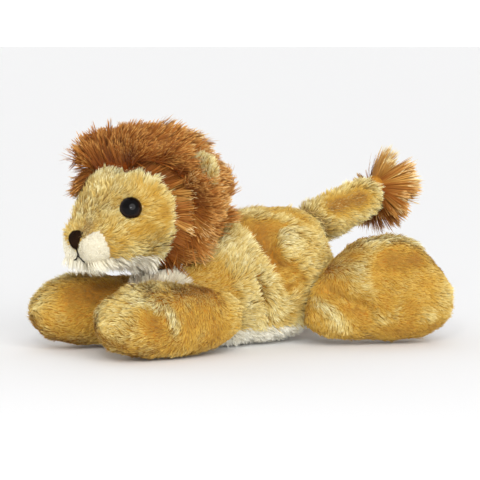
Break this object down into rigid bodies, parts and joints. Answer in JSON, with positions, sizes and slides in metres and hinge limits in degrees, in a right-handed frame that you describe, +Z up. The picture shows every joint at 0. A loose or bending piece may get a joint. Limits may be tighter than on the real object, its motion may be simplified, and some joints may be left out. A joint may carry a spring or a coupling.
{
  "type": "plush lion",
  "caption": "A small plush lion lying on its belly, golden brown with a shaggy orange mane, a cream muzzle and belly, glossy dark eyes and a tufted tail.",
  "frame": {"origin": "centre of the bounding box on the surface the toy lies on", "axes": "the lion faces -X, its left side is towards -Y, +Z is up"},
  "size_m": [0.2014, 0.1312, 0.1033],
  "materials": {
    "golden_plush": "short golden plush pile with pale tips",
    "orange_long_pile": "long shaggy orange brown pile with golden tips",
    "cream_plush": "cream velour and short cream pile",
    "dark_brown_plush": "dark brown velour",
    "gloss_eye_plastic": "polished",
    "white_washer_plastic": "moulded",
    "white_fibre_fill": "loose polyester fibre",
    "pellet_bag_cloth": "thin plain cloth"
  },
  "bodies": {
    "torso": {"torso_cover": "golden_plush", "belly_panel": "cream_plush", "torso_stuffing": "white_fibre_fill", "belly_pellet_bag": "pellet_bag_cloth"},
    "head": {"head_cover": "golden_plush", "muzzle_left": "cream_plush", "muzzle_right": "cream_plush", "chin_panel": "cream_plush", "head_stuffing": "white_fibre_fill", "eye_left": "gloss_eye_plastic", "eye_washer_left": "white_washer_plastic", "eye_right": "gloss_eye_plastic", "eye_washer_right": "white_washer_plastic", "nose": "dark_brown_plush", "ear_left": "golden_plush", "ear_right": "golden_plush", "mane": "orange_long_pile"},
    "front_left_leg": {"front_left_leg_cover": "golden_plush", "front_left_leg_stuffing": "white_fibre_fill", "front_left_paw_pellet_bag": "pellet_bag_cloth"},
    "front_right_leg": {"front_right_leg_cover": "golden_plush", "front_right_leg_stuffing": "white_fibre_fill", "front_right_paw_pellet_bag": "pellet_bag_cloth"},
    "hind_left_leg": {"hind_left_leg_cover": "golden_plush", "hind_left_leg_stuffing": "white_fibre_fill", "hind_left_paw_pellet_bag": "pellet_bag_cloth"},
    "hind_right_leg": {"hind_right_leg_cover": "golden_plush", "hind_right_leg_stuffing": "white_fibre_fill", "hind_right_paw_pellet_bag": "pellet_bag_cloth"},
    "tail": {"tail_cover": "golden_plush", "tail_stuffing": "white_fibre_fill", "tail_tuft": "orange_long_pile"}
  },
  "joints": [
    {"name": "head_turn", "type": "hinge", "parent": "torso", "child": "head", "pos_m": [-0.0557, 0, 0.07], "axis": [0, 0, 1], "range_deg": [-18, 18]},
    {"name": "front_left_leg_swing", "type": "hinge", "parent": "torso", "child": "front_left_leg", "pos_m": [-0.0229, -0.0262, 0.017], "axis": [0, 0, 1], "range_deg": [0, 22]},
    {"name": "front_right_leg_swing", "type": "hinge", "parent": "torso", "child": "front_right_leg", "pos_m": [-0.0229, 0.0262, 0.017], "axis": [0, 0, -1], "range_deg": [0, 22]},
    {"name": "hind_left_leg_swing", "type": "hinge", "parent": "torso", "child": "hind_left_leg", "pos_m": [0.0085, -0.0275, 0.017], "axis": [0, 0, -1], "range_deg": [0, 24]},
    {"name": "hind_right_leg_swing", "type": "hinge", "parent": "torso", "child": "hind_right_leg", "pos_m": [0.0085, 0.0275, 0.017], "axis": [0, 0, 1], "range_deg": [0, 24]},
    {"name": "tail_droop", "type": "hinge", "parent": "torso", "child": "tail", "pos_m": [0.0393, 0, 0.0445], "axis": [0, 1, 0], "range_deg": [0, 20]}
  ]
}
